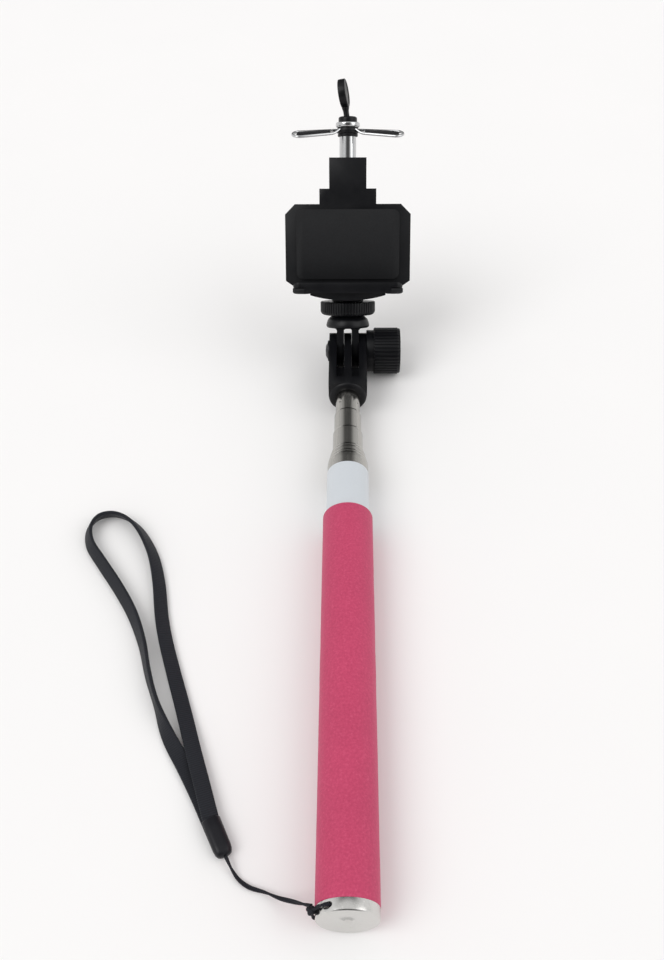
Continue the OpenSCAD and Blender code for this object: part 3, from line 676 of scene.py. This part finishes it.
collar = lathe(softened([
    (SLIDE_R, COLLAR_LOW), (COLLAR_R, COLLAR_LOW, 0.2), (COLLAR_R, COLLAR_HIGH - 0.1, 0.2),
    (SLIDE_R, COLLAR_HIGH - 0.1)], 4), 72, closed=True)
piece("wire_arms", "jaw_arms", [collar, arm, moved(arm, MIRROR)], HEAD, 50)

# the rubber strip that lies in each arm's loop
strip_place = (Matrix.Translation((5.4, -1.42, ARM_LOW + 2.7)) @ Matrix.Rotation(math.radians(20), 4, "X")
               @ Matrix.Rotation(math.radians(-4.07), 4, "Y"))
STRIP = [(1.46, 1.77), (13.3, -4.33), (14.8, -5.5), (15, -9.6), (13.66, -9.81), (1.76, -3.44)]
strip = moved(slab(STRIP, -0.5, 0.5), strip_place)
piece("arm_rubber", "arm_pads", [strip, moved(strip, MIRROR)], HEAD, 40, edge=0.2)
piece("bright_ring", "hub_ring", [lathe(softened([
    (SLIDE_R, COLLAR_HIGH), (COLLAR_R, COLLAR_HIGH), (4.86, 90.1, 0.75), (4.86, 91.85, 0.75), (COLLAR_R, 92, 0.1),
    (SLIDE_R, 92),
], 9), 96, closed=True)], HEAD, 50)
piece("hub_top", "hub_cap", [lathe(softened([
    (1.65, 92), (3.75, 92), (3.75, 94.1, 1.2), (2.2, 94.1, 0.3), (1.65, 92.4)], 7), 72, closed=True)], HEAD)

# the spring that the sliding jaw presses together
SPRING_R, SPRING_LOW, SPRING_HIGH, TURNS, PER_TURN = 4.25, 33.6, 73.4, 11, 24
coil = []
for k in range(TURNS * PER_TURN + 1):
    a = 2 * math.pi * k / PER_TURN
    rise = (SPRING_HIGH - SPRING_LOW) * k / (TURNS * PER_TURN)
    coil.append((SPRING_R * math.cos(a), SPRING_R * math.sin(a), SPRING_LOW + rise))
spring = piece("coil_spring", "clamp_spring", [sweep(coil, circle(0.35, 8))[:2]], HEAD, 60)
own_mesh(spring)

# ------------------------------------------------------------------ pull tab
BALL_U, TAB_ARM, TAB_R, TAB_HALF, TAB_LEAN, TAB_TURN = 91, 12.1, 5.5, 1.5, 8, -9
BALL_R, STEM_R, STEM_FOOT_R = 1.8, 1.15, 1.65
rim = [(TAB_R, TAB_HALF, 0.6), (TAB_R - 1.0, TAB_HALF, 0.2), (TAB_R - 1.3, TAB_HALF - 0.3, 0.2), (0, TAB_HALF - 0.3)]
disc = lathe(softened([(p[0], -p[1], *p[2:]) for p in rim[::-1]] + rim, 6), 96)
ball = [(BALL_R * math.cos(math.radians(a)), BALL_R * math.sin(math.radians(a))) for a in range(-80, 51, 10)]
neck = softened([(STEM_R, 1.5), (STEM_R, 5.2, 1.2), (STEM_FOOT_R, 7.2, 0.8), (0, 7.4)], 5)
stem = lathe([(0, -BALL_R), *ball, *neck], 48)
upright = (Matrix.Translation((0, 0, TAB_ARM)) @ Matrix.Rotation(math.radians(TAB_TURN), 4, "Z")
           @ Matrix.Rotation(math.radians(90), 4, "Y"))
piece("pull_disc", "pull_tab", [moved(disc, upright), stem],
      HEAD @ Matrix.Translation((0, 0, BALL_U)) @ Matrix.Rotation(math.radians(-TAB_LEAN), 4, "Y"))

# ------------------------------------------------------------------ floor, backdrop and light
FLOOR_HALF = 20
floor = bpy.data.objects.new("floor", bpy.data.meshes.new("floor"))
corners = [(x * FLOOR_HALF, y * FLOOR_HALF, 0) for x, y in ((-1, -1), (1, -1), (1, 1), (-1, 1))]
floor.data.from_pydata(corners, [], [(0, 1, 2, 3)])
bpy.context.scene.collection.objects.link(floor)


def floor_paper():
    """Matt, nearly white paper."""
    m, t, s = node_tree("floor")
    shade = ramp(t, noise_of(t, coords(t), 0.01, 2), [(0.3, (0.895, 0.888, 0.885)), (0.7, (0.905, 0.896, 0.893))])
    t.links.new(shade, s.inputs["Base Color"])
    s.inputs["Roughness"].default_value = 0.9
    s.inputs["Specular IOR Level"].default_value = 0.1
    return m


floor.data.materials.append(floor_paper())


def studio():
    """Even light all round. What shines mirrors pale walls left and right, a dark room between, and a canopy above."""
    world = bpy.data.worlds.new("studio")
    world.use_nodes = True
    t = world.node_tree
    sky = t.nodes["Background"]
    sky.inputs["Color"].default_value = (1, 0.995, 0.99, 1)
    sky.inputs["Strength"].default_value = 0.70
    mirrored = add(t, "ShaderNodeBackground", {"Strength": 1.0})
    way = add(t, "ShaderNodeTexCoord")
    parts = add(t, "ShaderNodeSeparateXYZ")
    t.links.new(way.outputs["Generated"], parts.inputs[0])
    sideways = add(t, "ShaderNodeMath", operation="ABSOLUTE")
    t.links.new(parts.outputs["X"], sideways.inputs[0])
    sides = ramp(t, sideways.outputs[0], [
        (0.0, grey(0.10)), (0.30, grey(0.13)), (0.50, grey(0.6)), (0.75, grey(0.9)), (1.0, grey(0.8))])
    overhead = add(t, "ShaderNodeMapRange", {"From Min": 0.72, "From Max": 0.9})
    t.links.new(parts.outputs["Z"], overhead.inputs["Value"])
    canopy = add(t, "ShaderNodeMix", data_type="RGBA")
    canopy.inputs["B"].default_value = (0.8, 0.8, 0.8, 1)
    t.links.new(overhead.outputs["Result"], canopy.inputs["Factor"])
    t.links.new(sides, canopy.inputs["A"])
    t.links.new(canopy.outputs["Result"], mirrored.inputs["Color"])
    rays = add(t, "ShaderNodeLightPath")
    mix = add(t, "ShaderNodeMixShader")
    t.links.new(rays.outputs["Is Glossy Ray"], mix.inputs[0])
    t.links.new(sky.outputs[0], mix.inputs[1])
    t.links.new(mirrored.outputs[0], mix.inputs[2])
    t.links.new(mix.outputs[0], t.nodes["World Output"].inputs["Surface"])
    return world


bpy.context.scene.world = studio()


def sun(name, strength, azimuth, elevation, width):
    """A distant soft light. Azimuth 0 is behind the camera and 90 to its right."""
    lamp = bpy.data.lights.new(name, "SUN")
    lamp.energy = strength
    lamp.angle = math.radians(width)
    o = bpy.data.objects.new(name, lamp)
    bpy.context.scene.collection.objects.link(o)
    a, e = math.radians(azimuth), math.radians(elevation)
    towards = Vector((math.sin(a) * math.cos(e), -math.cos(a) * math.cos(e), math.sin(e)))
    o.rotation_mode = "QUATERNION"
    o.rotation_quaternion = towards.to_track_quat("Z", "Y")


sun("key", 1.05, -60, 50, 40)
sun("fill", 0.6, 75, 40, 50)
bpy.context.scene.view_settings.view_transform = "Standard"
